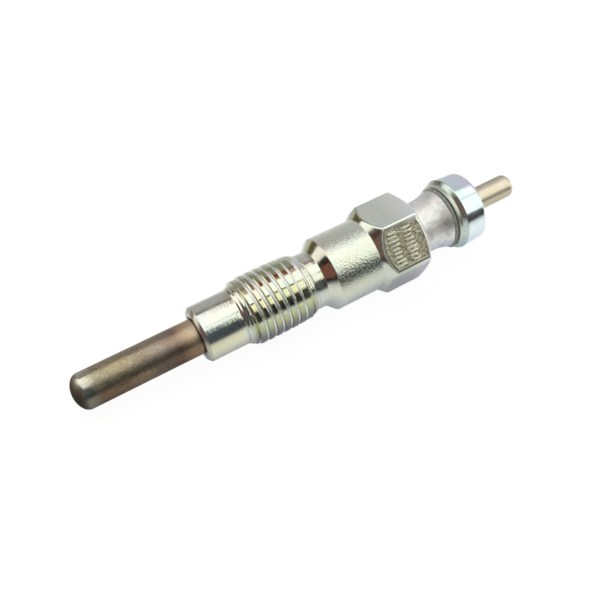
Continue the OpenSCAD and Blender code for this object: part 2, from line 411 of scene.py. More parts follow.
for vertex in housing.data.vertices:
    fromTop = halfFlat - vertex.co.dot(acrossFlat) / mm
    depth = shell["hexFlat"] - vertex.co.dot(outward) / mm
    alongHex = vertex.co.x / mm - shell["hexX"]
    inField = -nearby < depth < field["sunk"] + nearby and 0 < alongHex < hexLength
    if inField and field["wedgeReach"][0] < fromTop < field["wedgeReach"][1]:
        # the upper margin widens towards the neck
        lean = field["wedge"] * (alongHex - field["wedgeFrom"]) / (hexLength - field["wedgeFrom"])
        vertex.co -= acrossFlat * max(lean, 0) * mm
print("hexagon shaped:", len(housing.data.polygons), "faces")

# thread: one pitch of profile, screwed round the axis and pressed under the line of its crests
threadForm = {
    "pitch": 1.25, "turns": 12, "startX": -14.342, "rootR": 4.57, "evenFrom": -11.6, "evenTo": -3.0,
    # half a pitch from the middle of a groove to the middle of a crest, which is broad and flat
    "halfProfile": [(0.0, 0.0), (0.04, 0.016), (0.07, 0.055), (0.095, 0.105), (0.15, 0.225), (0.18, 0.285),
                    (0.21, 0.332), (0.24, 0.366), (0.27, 0.39), (0.305, 0.41), (0.345, 0.422), (0.39, 0.428),
                    (0.435, 0.43), (0.485, 0.43), (0.53, 0.43), (0.58, 0.43), (0.625, 0.43)],
    # the thread starts and runs out in small steps
    "crestLine": [(-20, 4.1), (-12.78, 4.1), (-12.62, 4.24), (-12.3, 4.27), (-12.14, 4.45), (-11.84, 4.5),
                  (-11.68, 4.7), (-11.42, 4.76), (-11.3, 4.89), (-10.9, 4.95), (-10.3, 5.0), (-9.5, 5.0),
                  (-6.9, 4.98), (-5.6, 4.95), (-4.7, 4.91), (-3.8, 4.86), (-2.9, 4.79), (-2.7, 4.75),
                  (-2.58, 4.61), (-2.32, 4.57), (-2.2, 4.43), (-1.96, 4.39), (-1.82, 4.225), (9, 4.225)],
    # its grooves die out before they reach the shell
    "rootLine": [(-20, 4.12), (-12.95, 4.12), (-12.8, 4.0), (-12.7, 4.0), (-12.2, 4.3), (-11.5, 4.5),
                 (-10.4, 4.57), (-4.4, 4.57), (-3.4, 4.58), (-2.2, 4.33), (-1.7, 4.18), (-1.4, 4.16),
                 (-1.0, 4.24), (9, 4.24)],
}
pitch, startX = threadForm["pitch"], threadForm["startX"]
rising = [Vector((startX + dx, threadForm["rootR"] + dr)) for dx, dr in threadForm["halfProfile"]]
falling = [Vector((2 * startX + pitch - at.x, at.y)) for at in reversed(rising[:-1])]
thread = drawOutline("threadSheet", rising + falling)
bpy.ops.object.mode_set(mode='OBJECT')
screw = thread.modifiers.new("thread", 'SCREW')
screw.axis = 'X'
screw.angle = 2 * math.pi
screw.screw_offset = pitch * mm
screw.iterations = threadForm["turns"]
screw.steps = screw.render_steps = turnSteps
screw.use_merge_vertices = True
screw.merge_threshold = weld
pickOnly(thread)
bpy.ops.object.modifier_apply(modifier=screw.name)


def follow(line, x):
    for (lowX, lowR), (highX, highR) in zip(line, line[1:]):
        if lowX <= x <= highX:
            return lowR + (highR - lowR) * (x - lowX) / (highX - lowX)
    return line[-1][1]


for vertex in thread.data.vertices:
    x = vertex.co.x / mm
    radius = math.hypot(vertex.co.y, vertex.co.z) / mm
    # between its stepped ends every crest keeps one radius, that of its own middle
    turned = (math.atan2(-vertex.co.y, vertex.co.z) / (2 * math.pi)) % 1
    rib = math.floor((x - startX) / pitch - turned + 1e-6)
    middle = startX + (rib + turned + 0.5) * pitch
    crestX = middle if threadForm["evenFrom"] < middle < threadForm["evenTo"] else x
    underRoot = follow(threadForm["rootLine"], x) + radius - threadForm["rootR"]
    shaped = min(underRoot, follow(threadForm["crestLine"], crestX))
    vertex.co.y *= shaped / radius
    vertex.co.z *= shaped / radius
bpy.ops.object.mode_set(mode='EDIT')
for cutX, side in ((shell["threadFrontX"], -1), (shell["threadRearX"], 1)):
    weldAll()
    bpy.ops.mesh.bisect(plane_co=(cutX * mm, 0, 0), plane_no=(side, 0, 0), clear_outer=True,
                        threshold=cutReach)
# the cut crosses the helix between the facets too: those few rim points go, so both rims match the shell
pickNothing('VERT')
for vertex in thread.data.vertices:
    fromRim = min(abs(vertex.co.x - shell[end] * mm) for end in ("threadFrontX", "threadRearX"))
    facets = math.atan2(vertex.co.z, vertex.co.y) / (2 * math.pi) * turnSteps
    betweenFacets = abs(facets - round(facets)) > 0.01
    vertex.select = fromRim < 10 * cutReach and betweenFacets
bpy.ops.object.mode_set(mode='EDIT')
bpy.ops.mesh.dissolve_verts()
bpy.ops.object.mode_set(mode='OBJECT')
pickOnly(housing)
thread.select_set(True)
bpy.ops.object.join()
bpy.ops.object.mode_set(mode='EDIT')
weldAll()
bpy.ops.mesh.select_all(action='DESELECT')
bpy.ops.mesh.select_non_manifold()
bpy.ops.object.mode_set(mode='OBJECT')
openEdges = sum(edge.select for edge in housing.data.edges)
print("thread joined:", len(housing.data.polygons), "faces,", openEdges, "open edges")

# raised bars on the sunk field
bpy.ops.object.select_all(action='DESELECT')
bpy.ops.mesh.primitive_cube_add(size=mm, location=(0, 0, 0))
bars = bpy.context.object
bars.name = "fieldBars"
bpy.ops.object.mode_set(mode='EDIT')
bpy.ops.mesh.select_all(action='SELECT')
bpy.ops.mesh.delete(type='VERT')
for column, columnX in enumerate(field["columns"]):
    for row in range(field["rows"]):
        wobble = math.sin(field["wobble"][0] * row + field["wobble"][1] * column)
        up = (row - (field["rows"] - 1) / 2) * field["rowStep"] - field["drop"]
        spot = outward * (shell["hexFlat"] - field["sunk"]) + acrossFlat * up
        spot.x = columnX + field["sway"] * wobble
        tilt = (math.radians(60), field["turn"] * wobble, 0)
        bpy.ops.mesh.primitive_cube_add(size=mm, location=spot * mm, rotation=tilt)
        length = field["barLength"] * (1 - field["shorten"] * abs(wobble))
        bpy.ops.transform.resize(value=(length, field["barWidth"], field["barRise"]), orient_type='LOCAL',
                                 orient_matrix=((1, 0, 0), acrossFlat, outward), orient_matrix_type='LOCAL',
                                 center_override=spot * mm)
bpy.ops.mesh.select_all(action='SELECT')
bpy.ops.mesh.bevel(offset=field["barEdge"] * mm, offset_type='OFFSET', segments=field["barEdgeSteps"],
                   affect='EDGES')
bpy.ops.mesh.normals_make_consistent(inside=False)
bpy.ops.object.mode_set(mode='OBJECT')
# the second finish is for the field and its bars
zinc, zincTree, zincShader = startFinish("brightZinc")
stamped, stampedTree, stampedShader = startFinish("stampedZinc")
for piece in (housing, bars):
    piece.data.materials.append(zinc)
    piece.data.materials.append(stamped)
for face in bars.data.polygons:
    face.material_index = 1
for face in housing.data.polygons:
    depth = shell["hexFlat"] - face.center.dot(outward) / mm
    onHexagon = shell["hexX"] * mm < face.center.x < shell["hexEndX"] * mm
    # the stamped finish, with its soil and painted shade, also reaches the flat's broken edges, which lie a
    # little below it
    stampedFace = nearby / 2 < depth < field["sunk"] + nearby and face.normal.dot(outward) > 0.2
    if stampedFace and onHexagon and abs(face.center.dot(acrossFlat)) < field["halfWidth"] * mm:
        face.material_index = 1
pickOnly(housing)
bars.select_set(True)
bpy.ops.object.join()
finishMesh(housing)
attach(housing, "root")
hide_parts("housing")
print("housing made:", len(housing.data.polygons), "faces")

# heater sheath: a drawn tube with a rounded, welded tip
sheathForm = {"tipX": -36.75, "rise": 1.7, "tipSteps": 16, "radius": 2.6, "endX": -4.25, "endEdge": 0.08,
              "cavityR": 2.0, "cavityX": -35.35}
sheathOutline = roundedTip(sheathForm["tipX"], sheathForm["rise"], sheathForm["radius"],
                           sheathForm["tipSteps"])
sheathOutline += [(sheathForm["endX"], sheathForm["radius"], sheathForm["endEdge"]),
                  (sheathForm["endX"], sheathForm["cavityR"]),
                  (sheathForm["cavityX"], sheathForm["cavityR"]), (sheathForm["cavityX"], 0)]
sheath = spinOutline("heaterSheath", softOutline(sheathOutline))
finishMesh(sheath)
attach(sheath, "root")
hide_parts("heater_sheath")
print("sheath made")

# centre rod: coil spigot, shank in the sheath, full rod in the housing and the terminal pin
rodForm = {"spigotR": 1.172, "spigotEdge": 0.1, "shankX": -17.83, "shankR": 1.5, "shankEdge": 0.05,
           "stepX": -4.24, "stepLength": 0.5, "stepEdge": 0.08, "rodR": 2.0, "collarEndX": 27.196,
           "pinR": 1.8, "pinEndX": 35.496, "pinRound": 0.9, "edgeSteps": 8}
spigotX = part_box("centre_rod")[0][0] / mm
rodOutline = [(spigotX, 0), (spigotX, rodForm["spigotR"], rodForm["spigotEdge"]),
              (rodForm["shankX"], rodForm["spigotR"]),
              (rodForm["shankX"], rodForm["shankR"], rodForm["shankEdge"]),
              (rodForm["stepX"], rodForm["shankR"]),
              (rodForm["stepX"] + rodForm["stepLength"], rodForm["rodR"], rodForm["stepEdge"]),
              (rodForm["collarEndX"], rodForm["rodR"]), (rodForm["collarEndX"], rodForm["pinR"]),
              (rodForm["pinEndX"], rodForm["pinR"], rodForm["pinRound"]), (rodForm["pinEndX"], 0)]
rod = spinOutline("centreRod", softOutline(rodOutline, rodForm["edgeSteps"]))
finishMesh(rod)
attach(rod, "root")
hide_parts("centre_rod")
print("rod made")

# insulating bush: sleeve in the housing and the flange that shows as a dark ring
bushForm = {"holeR": 2.01, "holeEdge": 0.05, "sleeveR": 3.14, "sleeveEdge": 0.15, "flangeX": 21.76,
            "flangeR": 4.68, "flangeFrontEdge": 0.18, "flangeBackEdge": 0.12, "endX": 22.346}
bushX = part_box("insulating_bush")[0][0] / mm
bushOutline = [(bushX, bushForm["holeR"], bushForm["holeEdge"]),
               (bushX, bushForm["sleeveR"], bushForm["sleeveEdge"]),
               (bushForm["flangeX"], bushForm["sleeveR"]),
               (bushForm["flangeX"], bushForm["flangeR"], bushForm["flangeFrontEdge"]),
               (bushForm["endX"], bushForm["flangeR"], bushForm["flangeBackEdge"]),
               (bushForm["endX"], bushForm["holeR"])]
bushPoints = softOutline(bushOutline)
bush = spinOutline("insulatingBush", bushPoints + bushPoints[:1])
finishMesh(bush)
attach(bush, "root")
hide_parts("insulating_bush")
print("bush made")

# terminal collar: a plated ring with a stepped, chamfered front and a well rounded back
collarForm = {"frontX": 22.346, "holeR": 2.01, "bossR": 5.0, "frontEdge": 0.1, "bossX": 22.96,
              "bossEdge": 0.06, "rimX": 23.5, "rimR": 5.55, "rimEdge": 0.22, "endX": 27.196,
              "backR": 5.33, "backRound": 0.75, "backEdge": 0.1, "edgeSteps": 6}
collarOutline = [(collarForm["frontX"], collarForm["holeR"]),
                 (collarForm["frontX"], collarForm["bossR"], collarForm["frontEdge"]),
                 (collarForm["bossX"], collarForm["bossR"], collarForm["bossEdge"]),
                 (collarForm["rimX"], collarForm["rimR"], collarForm["rimEdge"]),
                 (collarForm["endX"], collarForm["backR"], collarForm["backRound"]),
                 (collarForm["endX"], collarForm["holeR"], collarForm["backEdge"])]
collarPoints = softOutline(collarOutline, collarForm["edgeSteps"])
collar = spinOutline("terminalCollar", collarPoints + collarPoints[:1])
finishMesh(collar)
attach(collar, "root")
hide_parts("terminal_collar")
print("collar made")

# bright zinc on the housing; zones are in mm, each edge given by where it begins and where it ends
zincLook = {
    "alongX": [(-18.75, (0.80, 0.80, 0.765)), (-12, (0.80, 0.80, 0.75)), (-2, (0.79, 0.80, 0.745)),
               (2, (0.79, 0.81, 0.735)), (12, (0.75, 0.785, 0.70)), (17, (0.95, 0.94, 0.94)),
               (21.7, (0.92, 0.91, 0.91))],
    "cloud": ((0.45, 3.0), [(0.34, (0.94, 0.98, 1.0)), (0.5, (1.0, 1.0, 0.98)), (0.64, (1.0, 0.97, 0.93))]),
    "threadX": ((-12.5, -11.5), (-3.0, -1.5)),
    "rainbow": ((0.9, 2.0, 0.5, 0.6), [(0.3, (0.70, 0.90, 0.92)), (0.45, (0.98, 1.0, 0.86)),
                                       (0.56, (1.0, 0.96, 0.62)), (0.7, (1.0, 0.82, 0.74))]),
    "rainbowShare": 0.5,
    "crestZ": (2.6, -3.0),
    # painted shade: the crests darken towards the bottom, through yellow-green to bluish grey
    "crestShade": [(0.0, (1.0, 1.0, 1.0)), (0.3, (0.78, 0.82, 0.58)), (0.6, (0.46, 0.48, 0.44)),
                 (0.9, (0.30, 0.30, 0.39))],
    # painted highlight: the grooves are lifted to near-white, which draws bright lines between the crests
    "grooveX": ((-11.5, -11.2), (-3.0, -2.7)), "grooveR": (4.66, 4.8), "groove": (0.97, 0.98, 1.0),
    # painted shade: the housing is toned darker and bluer below
    "undersideZ": (-3.5, 0.5), "undersideShade": (0.77, 0.785, 0.895),
    "noseX": (-13.4, -12.8),
    # painted reflection: the nose is lighter and creamier below and bluer higher up
    "nosePaintedReflection": [(-2.0, (1.10, 1.11, 1.02)), (-0.4, (1.12, 1.10, 0.91)), (0.7, (1.16, 1.12, 0.91)),
                  (1.4, (1.0, 1.02, 1.0)), (2.1, (1.02, 1.12, 1.28)), (2.8, (1.0, 1.08, 1.2)),
                  (3.3, (1.0, 1.0, 1.0))],
    # painted shade: the hexagon's lower flats are toned darker and lilac
    "hexagonX": ((9.0, 9.4), (16.1, 16.3)), "hexLowZ": (-1.6, -0.4), "hexLowShade": (0.74, 0.70, 0.78),
    "neckX": (16.2, 16.6),
    "mottle": ((0.9, 4.0, 0.55, 0.9), [(0.36, (0.80, 0.785, 0.82)), (0.48, (0.94, 0.925, 0.95)),
                                       (0.58, (1.0, 1.0, 1.0))]),
    # painted shade: a dark ring at the nose's mouth, round the sheath
    "mouthX": (-18.55, -18.4), "mouthR": (2.9, 3.05), "mouth": (0.13, 0.085, 0.065),
    "polish": ((1.1, 3.0), (0.11, 0.19)),
    "faceX": (-18.35, -18.1), "faceDull": 0.07, "neckDull": 0.33, "grooveDull": 0.16, "crestDull": -0.06,
    "barrelX": ((1.2, 1.5), (8.2, 8.5)), "peelGrain": (3.8, 2.0, 0.6),
    "peel": 0.25, "nosePeel": 0.2, "barrelPeel": 4.4,
    "turningStretch": (3.8, 0.35, 0.35), "turningGrain": (1.0, 2.0, 0.6), "turningZ": (3.3, 3.8, 0.2),
    "turning": 1.8,
    "dentGrain": (0.75, 2.0), "dents": 5.0, "reliefDepth": 0.012,
}
tree, shader = zincTree, zincShader
place = placeInMm(tree)
x, y, z = splitPlace(tree, place)
reach = sums(tree, 'SQRT', sums(tree, 'MULTIPLY_ADD', y, y, product(tree, z, z)))
onThread = within(tree, x, *zincLook["threadX"])
inGroove = product(tree, within(tree, x, *zincLook["grooveX"]), fadeOut(tree, reach, *zincLook["grooveR"]))
onCrest = sums(tree, 'SUBTRACT', onThread, inGroove)
onNose = fadeOut(tree, x, *zincLook["noseX"])
onNeck = fade(tree, x, *zincLook["neckX"])
shade = tintsAlong(tree, x, zincLook["alongX"])
shade = glaze(tree, 1.0, shade, grainTints(tree, place, *zincLook["cloud"]))
rainbow = grainTints(tree, place, *zincLook["rainbow"])
shade = glaze(tree, product(tree, onCrest, zincLook["rainbowShare"]), shade, rainbow)
# painted shade: darker and bluer towards the bottom
shade = glaze(tree, fadeOut(tree, z, *zincLook["undersideZ"]), shade, zincLook["undersideShade"])
# painted reflection on the nose, by height
shade = glaze(tree, onNose, shade, tintsAlong(tree, z, zincLook["nosePaintedReflection"]))
# painted shade on the hexagon's lower flats
hexLowShade = product(tree, within(tree, x, *zincLook["hexagonX"]), fadeOut(tree, z, *zincLook["hexLowZ"]))
shade = glaze(tree, hexLowShade, shade, zincLook["hexLowShade"])
# painted shade on the crests, darker towards the bottom
crestShade = tints(tree, fade(tree, z, *zincLook["crestZ"]), zincLook["crestShade"])
shade = glaze(tree, onCrest, shade, crestShade)
# painted highlight in the grooves
shade = blendTints(tree, inGroove, shade, zincLook["groove"])
shade = glaze(tree, onNeck, shade, grainTints(tree, place, *zincLook["mottle"]))
# painted shade where the sheath enters the nose
mouthShade = product(tree, fadeOut(tree, x, *zincLook["mouthX"]), fadeOut(tree, reach, *zincLook["mouthR"]))
shade = blendTints(tree, mouthShade, shade, zincLook["mouth"])
feed(tree, shader.inputs["Base Color"], shade)
shader.inputs["Metallic"].default_value = 1.0
roughness = grainPolish(tree, place, *zincLook["polish"])
onFace = fadeOut(tree, x, *zincLook["faceX"])
dullZones = {"faceDull": onFace, "neckDull": onNeck, "grooveDull": inGroove, "crestDull": onCrest}
for dull, zone in dullZones.items():
    roughness = sums(tree, 'MULTIPLY_ADD', zone, zincLook[dull], roughness)
feed(tree, shader.inputs["Roughness"], roughness)
# plating like orange peel, turning marks on the nose and dents on the neck
onBarrel = within(tree, x, *zincLook["barrelX"])
peelDepth = sums(tree, 'MULTIPLY_ADD', onNose, zincLook["nosePeel"], zincLook["peel"])
peelDepth = sums(tree, 'MULTIPLY_ADD', onBarrel, zincLook["barrelPeel"], peelDepth)
skin = product(tree, grain(tree, place, *zincLook["peelGrain"]), peelDepth)
turning = grain(tree, placeInMm(tree, zincLook["turningStretch"]), *zincLook["turningGrain"])
turning = product(tree, turning, onNose, fadeOut(tree, z, *zincLook["turningZ"]))
skin = sums(tree, 'MULTIPLY_ADD', turning, zincLook["turning"], skin)
dents = product(tree, grain(tree, place, *zincLook["dentGrain"]), onNeck)
skin = sums(tree, 'MULTIPLY_ADD', dents, zincLook["dents"], skin)
feed(tree, shader.inputs["Normal"], relief(tree, skin, zincLook["reliefDepth"]))

# the stamped field: dull, with soil and painted shade in its hollows, and a painted highlight on its bars
stampLook = {
    "soilAndShadeGrain": (2.8, 4.0, 0.65),
    "soilAndShade": [(0.34, (0.21, 0.185, 0.12)), (0.48, (0.47, 0.44, 0.31)), (0.64, (0.80, 0.78, 0.62))],
    # painted highlight: the bars are paler than the zinc round them
    "bars": (0.95, 0.93, 0.82), "barsFrom": 0.01, "barsTo": 0.015,
    "roughness": (0.44, 0.3), "pits": ((3.6, 3.0, 0.6), 0.1),
}
tree, shader = stampedTree, stampedShader
place = placeInMm(tree)
y, z = splitPlace(tree, place)[1:]
height = sums(tree, 'MULTIPLY_ADD', y, outward.y, product(tree, z, outward.z))
soilAndShade = grain(tree, place, *stampLook["soilAndShadeGrain"])
# painted highlight on the bars
barHighlight = fade(tree, height, shell["hexFlat"] - field["sunk"] + stampLook["barsFrom"],
              shell["hexFlat"] - stampLook["barsTo"])
shade = blendTints(tree, barHighlight, tints(tree, soilAndShade, stampLook["soilAndShade"]), stampLook["bars"])
feed(tree, shader.inputs["Base Color"], shade)
shader.inputs["Metallic"].default_value = 1.0
feed(tree, shader.inputs["Roughness"], fade(tree, soilAndShade, *grainRange, *stampLook["roughness"]))
feed(tree, shader.inputs["Normal"], grainRelief(tree, place, *stampLook["pits"]))

# bluish zinc on the collar, duller on its boss and chamfer, with painted shade below and on its far side
collarLook = {
    "cloud": ((0.3, 2.0), [(0.35, (0.70, 0.81, 0.84)), (0.5, (0.76, 0.82, 0.85)),
                           (0.66, (0.80, 0.76, 0.85))]),
    "bossX": (22.9, 23.0), "boss": (0.60, 0.63, 0.55), "bossDull": 0.2,
    "chamferX": (23.45, 23.65), "chamfer": (0.70, 0.80, 0.76), "chamferDull": 0.13,
    # painted shade: the collar is toned darker and bluer below
    "undersideZ": (-3.5, 1.0), "undersideShade": (0.66, 0.71, 0.79),
    # painted shade: the collar's far side is toned a little darker and pinker
    "farY": (0.5, 4.0), "farSideShade": (1.0, 0.93, 0.96),
    "polish": ((1.5, 2.0), (0.10, 0.18)), "peel": ((4.0, 2.0), 0.003),
}
collarZinc, tree, shader = startFinish("blueZinc")
place = placeInMm(tree)
x, y, z = splitPlace(tree, place)
shade = grainTints(tree, place, *collarLook["cloud"])
onBoss = fadeOut(tree, x, *collarLook["bossX"])
shade = blendTints(tree, onBoss, shade, collarLook["boss"])
onChamfer = sums(tree, 'SUBTRACT', fadeOut(tree, x, *collarLook["chamferX"]), onBoss)
shade = blendTints(tree, onChamfer, shade, collarLook["chamfer"])
# painted shade below
shade = glaze(tree, fadeOut(tree, z, *collarLook["undersideZ"]), shade, collarLook["undersideShade"])
# painted shade on the far side
shade = glaze(tree, fade(tree, y, *collarLook["farY"]), shade, collarLook["farSideShade"])
feed(tree, shader.inputs["Base Color"], shade)
shader.inputs["Metallic"].default_value = 1.0
roughness = grainPolish(tree, place, *collarLook["polish"])
roughness = sums(tree, 'MULTIPLY_ADD', onChamfer, collarLook["chamferDull"], roughness)
roughness = sums(tree, 'MULTIPLY_ADD', onBoss, collarLook["bossDull"], roughness)
feed(tree, shader.inputs["Roughness"], roughness)
feed(tree, shader.inputs["Normal"], grainRelief(tree, place, *collarLook["peel"]))
coat(collar, collarZinc)

# heat-tinted alloy on the sheath: stops are shares of the length that shows, from the tip; the last, dark
# stop is painted shade where the sheath enters the nose
heaterLook = {
    "length": 18.0,
    "along": [(0.0, (0.20, 0.16, 0.13)), (0.05, (0.26, 0.22, 0.18)), (0.09, (0.68, 0.67, 0.60)),
              (0.125, (0.62, 0.61, 0.52)), (0.2, (0.42, 0.365, 0.265)), (0.4, (0.405, 0.345, 0.245)),
              (0.58, (0.40, 0.335, 0.265)), (0.7, (0.36, 0.30, 0.27)), (0.82, (0.34, 0.245, 0.195)),
              (0.92, (0.57, 0.44, 0.31)), (0.985, (0.63, 0.53, 0.40)), (1.0, (0.22, 0.14, 0.09))],
    "stainStretch": (0.35, 0.9, 0.9),
    "stain": ((1.0, 4.0, 0.6), [(0.32, (0.80, 0.76, 0.74)), (0.5, (1.0, 1.0, 1.0)),
                                (0.66, (1.12, 1.06, 0.94))]),
    "speckle": ((3.4, 2.0, 0.7), [(0.36, (0.82, 0.81, 0.80)), (0.5, (1.0, 1.0, 1.0)),
                                  (0.64, (1.19, 1.17, 1.14))]),
    "speckleX": ((-35.4, -33.5), (-26.0, -21.5, 0.25)),
    # painted shade: redder below, and darker there towards the nose
    "lowZ": (0.1, 1.6),
    "lowShade": [(0.1, (1.0, 1.0, 1.0)), (0.2, (1.0, 0.80, 0.77)), (0.55, (0.92, 0.84, 0.79)),
                (0.7, (0.58, 0.52, 0.49)), (0.95, (0.64, 0.55, 0.50))],
    "satin": ((0.8, 3.0), (0.31, 0.39)), "bandX": ((-35.6, -35.0), (-34.8, -33.2)), "bandDull": -0.14,
    "nearNose": (-25, -20.5, 0.0, 0.03), "atTip": (-35.9, -35.3, 0.16, 0.0),   # from, to, what is added there
    "scale": ((1.6, 3.0), 0.004),
}
tinted, tree, shader = startFinish("heatTintedAlloy")
place = placeInMm(tree)
x, z = splitPlace(tree, place)[::2]
along = sums(tree, 'DIVIDE', sums(tree, 'SUBTRACT', x, sheathForm["tipX"]), heaterLook["length"])
shade = tints(tree, along, heaterLook["along"])
stain = grainTints(tree, placeInMm(tree, heaterLook["stainStretch"]), *heaterLook["stain"])
shade = glaze(tree, 1.0, shade, stain)
speckled = within(tree, x, *heaterLook["speckleX"])
shade = glaze(tree, speckled, shade, grainTints(tree, place, *heaterLook["speckle"]))
# painted shade on the lower side
shadeBelow = fadeOut(tree, z, *heaterLook["lowZ"])
shade = glaze(tree, shadeBelow, shade, tints(tree, along, heaterLook["lowShade"]))
feed(tree, shader.inputs["Base Color"], shade)
shader.inputs["Metallic"].default_value = 1.0
onBand = within(tree, x, *heaterLook["bandX"])
roughness = grainPolish(tree, place, *heaterLook["satin"])
roughness = sums(tree, 'MULTIPLY_ADD', onBand, heaterLook["bandDull"], roughness)
for end in ("nearNose", "atTip"):
    roughness = sums(tree, 'ADD', roughness, fade(tree, x, *heaterLook[end]))
feed(tree, shader.inputs["Roughness"], roughness)
feed(tree, shader.inputs["Normal"], grainRelief(tree, place, *heaterLook["scale"]))
coat(sheath, tinted)

# yellowish passivated steel on the rod, with painted shade on the far and lower sides of the pin
pinLook = {
    "cloud": ((0.6, 2.0), [(0.35, (0.76, 0.67, 0.51)), (0.65, (0.82, 0.73, 0.58))]),
    "farY": (-0.6, 0.9), "lowZ": (-0.4, 1.0), "sides": (0.56, 0.58, 0.56),
    "roughness": 0.36, "peel": ((7.0, 2.0), 0.003),
}
pinGold, tree, shader = startFinish("passivatedRod")
place = placeInMm(tree)
y, z = splitPlace(tree, place)[1:]
shade = grainTints(tree, place, *pinLook["cloud"])
# painted shade on the pin's far and lower sides
sides = sums(tree, 'MAXIMUM', fade(tree, y, *pinLook["farY"]), fadeOut(tree, z, *pinLook["lowZ"]))
feed(tree, shader.inputs["Base Color"], glaze(tree, sides, shade, pinLook["sides"]))
shader.inputs["Metallic"].default_value = 1.0
shader.inputs["Roughness"].default_value = pinLook["roughness"]
feed(tree, shader.inputs["Normal"], grainRelief(tree, place, *pinLook["peel"]))
coat(rod, pinGold)

# grey resin on the bush
resinLook = {
    "cloud": ((3.0, 4.0), [(0.35, (0.27, 0.29, 0.27)), (0.65, (0.40, 0.42, 0.39))]),
    "roughness": 0.25, "peel": ((12.0, 2.0), 0.004),
}
resin, tree, shader = startFinish("bushResin")
place = placeInMm(tree)
feed(tree, shader.inputs["Base Color"], grainTints(tree, place, *resinLook["cloud"]))
shader.inputs["Roughness"].default_value = resinLook["roughness"]
feed(tree, shader.inputs["Normal"], grainRelief(tree, place, *resinLook["peel"]))
coat(bush, resin)


# pieces that stay as their CAD solids, hidden in the housing and the sheath
def plainFinish(name, dark, light, scale, roughness, metallic, depth):
    finish, tree, shader = startFinish(name)
    cloud = grain(tree, placeInMm(tree), scale, 4.0)
    feed(tree, shader.inputs["Base Color"], tints(tree, cloud, [(0.35, dark), (0.65, light)]))
    shader.inputs["Metallic"].default_value = metallic
    shader.inputs["Roughness"].default_value = roughness
    feed(tree, shader.inputs["Normal"], relief(tree, cloud, depth))
    return finish


# node: finish, dark and light tone, grain, roughness, metallic and depth of the grain
insideFinishes = {
    "heating_coil": ("heatingWire", (0.34, 0.31, 0.29), (0.46, 0.42, 0.38), 4.0, 0.4, 1.0, 0.004),
    "regulating_coil": ("regulatingWire", (0.60, 0.57, 0.50), (0.70, 0.67, 0.60), 4.0, 0.3, 1.0, 0.003),
    "magnesia_fill": ("magnesiaPowder", (0.80, 0.79, 0.75), (0.90, 0.89, 0.86), 9.0, 0.9, 0.0, 0.03),
    "sheath_seal": ("brownRubber", (0.13, 0.06, 0.04), (0.18, 0.09, 0.06), 6.0, 0.6, 0.0, 0.01),
    "seal_ring": ("blackRubber", (0.012, 0.012, 0.012), (0.022, 0.022, 0.022), 8.0, 0.5, 0.0, 0.006),
}
for node, look in insideFinishes.items():
    coat(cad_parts[node], plainFinish(*look))
print("finishes set")

# floor: tilted so that it touches the thread's front crest and the edge of the lowest flat
floorRest = {"threadX": -10.9, "threadZ": -5.0, "hexX": 8.87, "hexZ": -6.0, "size": 3000}
slope = math.atan2(floorRest["threadZ"] - floorRest["hexZ"], floorRest["hexX"] - floorRest["threadX"])
bpy.ops.object.select_all(action='DESELECT')
bpy.ops.mesh.primitive_plane_add(size=floorRest["size"] * mm)
floor = bpy.context.object
floor.name = "studioFloor"
floor.location = (floorRest["hexX"] * mm, 0, floorRest["hexZ"] * mm)
floor.rotation_euler = (0, slope, 0)
# the paper as the metal mirrors it, in mm from the hexagon: painted reflections, seen only by reflected rays,
# palest beside the plug and dark towards the camera.
# an edge is where it begins and ends, and some have the two strengths there
paperLook = {
    "lit": (0.86, 0.86, 0.83), "mirrored": (0.84, 0.86, 0.86), "dark": (0.0, 0.0, 0.0),
    "heaterEndX": (-54, -16, 0.15, 1.0), "farY": (20, 60, 1.0, 0.55), "nearY": (-47, -16, 0.1, 1.0),
    "glowY": (-24, -5, 0.0, 0.26),
    "collarX": (12, 20), "collarY": (-42, -24, 0.0, 0.3),
    "seatX": (-34, -22, 0.4, 0.0), "seatY": (30, 60),
    "stripSkew": 0.28, "stripX": ((-24.5, -23), (-12.4, -11)), "stripY": ((-75, -55), (-30, -14)),
    "stripGlow": 0.4,
    "seenGlow": 0.95, "seenShadow": (0.09, 0.09, 0.09),
}
paper = bpy.data.materials.new("whitePaper")
paper.use_nodes = True
tree = paper.node_tree
tree.nodes.clear()
x, y = splitPlace(tree, placeInMm(tree))[:2]
rays = tree.nodes.new("ShaderNodeLightPath")
alongside = fade(tree, x, *paperLook["heaterEndX"])
farOff = fade(tree, y, *paperLook["farY"])
nearPlug = product(tree, fade(tree, y, *paperLook["nearY"]), alongside, farOff)
sheetTone = blendTints(tree, nearPlug, paperLook["dark"], paperLook["mirrored"])
lampTone = blendTints(tree, rays.outputs["Is Glossy Ray"], paperLook["lit"], sheetTone)
matte = tree.nodes.new("ShaderNodeBsdfDiffuse")
tree.links.new(lampTone, matte.inputs["Color"])
bright = product(tree, fade(tree, y, *paperLook["glowY"]), alongside, farOff)
byCollar = product(tree, fade(tree, x, *paperLook["collarX"]), fade(tree, y, *paperLook["collarY"]))
bySeat = product(tree, fade(tree, x, *paperLook["seatX"]), fade(tree, y, *paperLook["seatY"]))
bright = sums(tree, 'ADD', sums(tree, 'ADD', bright, byCollar), bySeat)
# a paler strip of the sheet, mirrored by the thread: a painted glow that only reflected rays see
skew = sums(tree, 'MULTIPLY_ADD', y, paperLook["stripSkew"], x)
strip = product(tree, within(tree, skew, *paperLook["stripX"]), within(tree, y, *paperLook["stripY"]))
bright = sums(tree, 'MULTIPLY_ADD', strip, paperLook["stripGlow"], bright)
